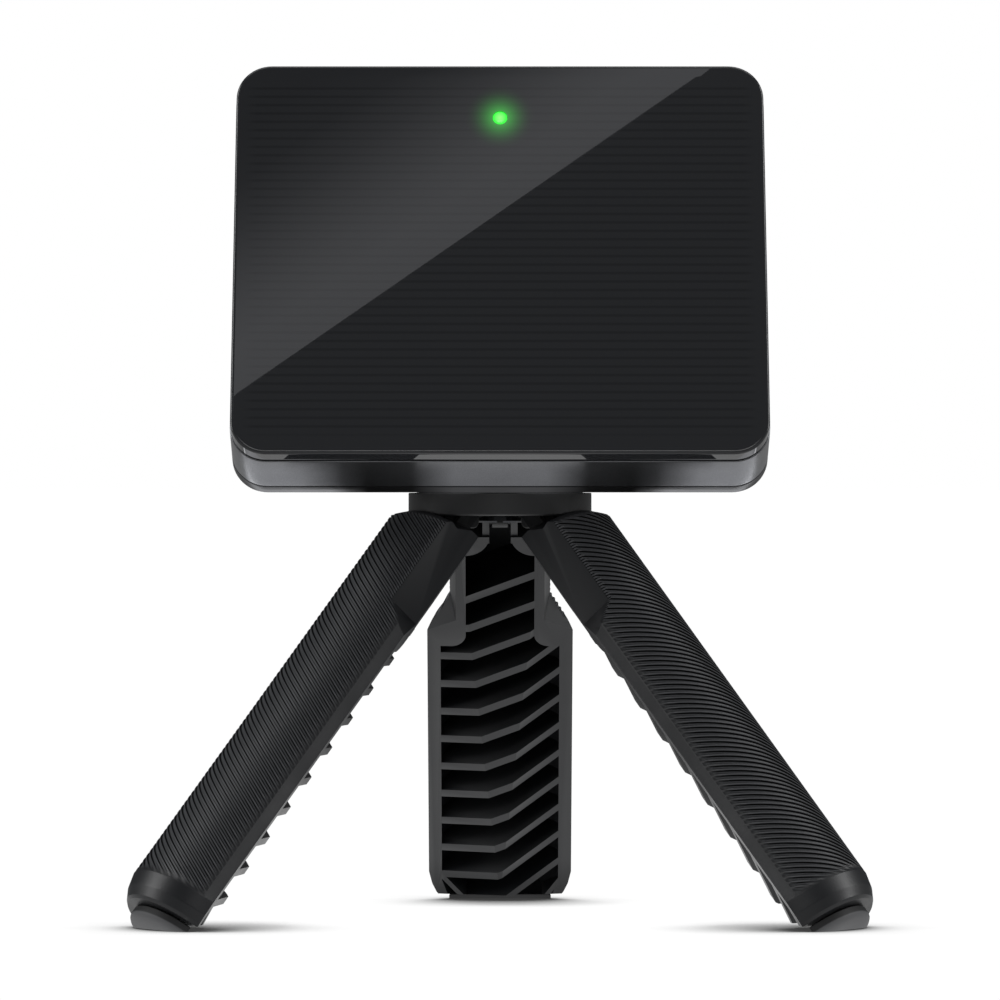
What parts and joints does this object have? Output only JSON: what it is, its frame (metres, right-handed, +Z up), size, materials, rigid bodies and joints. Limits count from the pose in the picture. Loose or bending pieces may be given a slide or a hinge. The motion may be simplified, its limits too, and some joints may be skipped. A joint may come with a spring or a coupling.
{
  "type": "launch monitor",
  "caption": "Portable golf radar launch monitor: a leaning glossy-faced slab with a green status light, on a folding mini tripod with ribbed legs.",
  "frame": {"origin": "on the ground, below the middle of the whole object's bounding box, with the legs splayed", "axes": "+Z up; the radar face looks along -Y and leans back; +X to the right as seen from the front"},
  "size_m": [0.1216, 0.109, 0.1421],
  "materials": {
    "front_gloss": "polished glossy black radome plastic",
    "case_satin": "satin dark grey metallic paint over fine grain",
    "case_matt": "fine-textured black moulded plastic",
    "leg_black": "black moulded nylon with fine helical grip ridges",
    "rubber_black": "soft black rubber",
    "steel": "turned steel",
    "brass": "turned brass",
    "board_green": "green solder mask",
    "board_black": "black solder mask",
    "tin_plate": "tin-plated sheet",
    "status_green": "clear light pipe, lit green",
    "battery_wrap": "shrink wrap",
    "grey_plastic": "unpainted grey plastic"
  },
  "bodies": {
    "hub": {"hub_body": "case_matt", "hub_top_pad": "rubber_black", "mount_stud": "steel", "hinge_pin_rear": "steel", "hinge_pin_left": "steel", "hinge_pin_right": "steel"},
    "leg_rear": {"leg_rear": "leg_black", "foot_rear": "rubber_black"},
    "leg_left": {"leg_left": "leg_black", "foot_left": "rubber_black"},
    "leg_right": {"leg_right": "leg_black", "foot_right": "rubber_black"},
    "device": {"front_cover": "front_gloss", "front_gasket": "rubber_black", "mid_frame": "case_satin", "rear_cover": "case_matt", "led_light_pipe": "status_green", "radar_antenna_board": "board_green", "radar_shield_can": "tin_plate", "main_board": "board_black", "battery_pack": "battery_wrap", "battery_bracket": "grey_plastic", "usb_socket": "tin_plate", "tact_switch": "grey_plastic", "threaded_insert": "brass", "case_screw_1": "steel", "case_screw_2": "steel", "case_screw_3": "steel", "case_screw_4": "steel"},
    "power_button": {"power_button": "case_matt"},
    "usb_cap": {"usb_cap": "rubber_black"}
  },
  "joints": [
    {"name": "leg_rear_fold", "type": "hinge", "parent": "hub", "child": "leg_rear", "pos_m": [0, -0.00747, 0.0689], "axis": [-1, 0, 0], "range_deg": [0, 39.5]},
    {"name": "leg_left_fold", "type": "hinge", "parent": "hub", "child": "leg_left", "pos_m": [-0.0052, -0.01647, 0.0689], "axis": [0.5, -0.866, 0], "range_deg": [0, 39.5]},
    {"name": "leg_right_fold", "type": "hinge", "parent": "hub", "child": "leg_right", "pos_m": [0.0052, -0.01647, 0.0689], "axis": [0.5, 0.866, 0], "range_deg": [0, 39.5]},
    {"name": "device_turn", "type": "hinge", "parent": "hub", "child": "device", "pos_m": [0, -0.01347, 0.07075], "axis": [0, 0, 1], "range_deg": [-180, 180]},
    {"name": "power_button_press", "type": "slide", "parent": "device", "child": "power_button", "axis": [0, -0.342, -0.9397], "range_m": [0, 0.0005], "stiffness_N_per_m": 1500, "springref_m": -0.0003},
    {"name": "usb_cap_open", "type": "hinge", "parent": "device", "child": "usb_cap", "pos_m": [0.04432, -0.02362, 0.0867], "axis": [0, 0.9397, -0.342], "range_deg": [0, 110]}
  ]
}
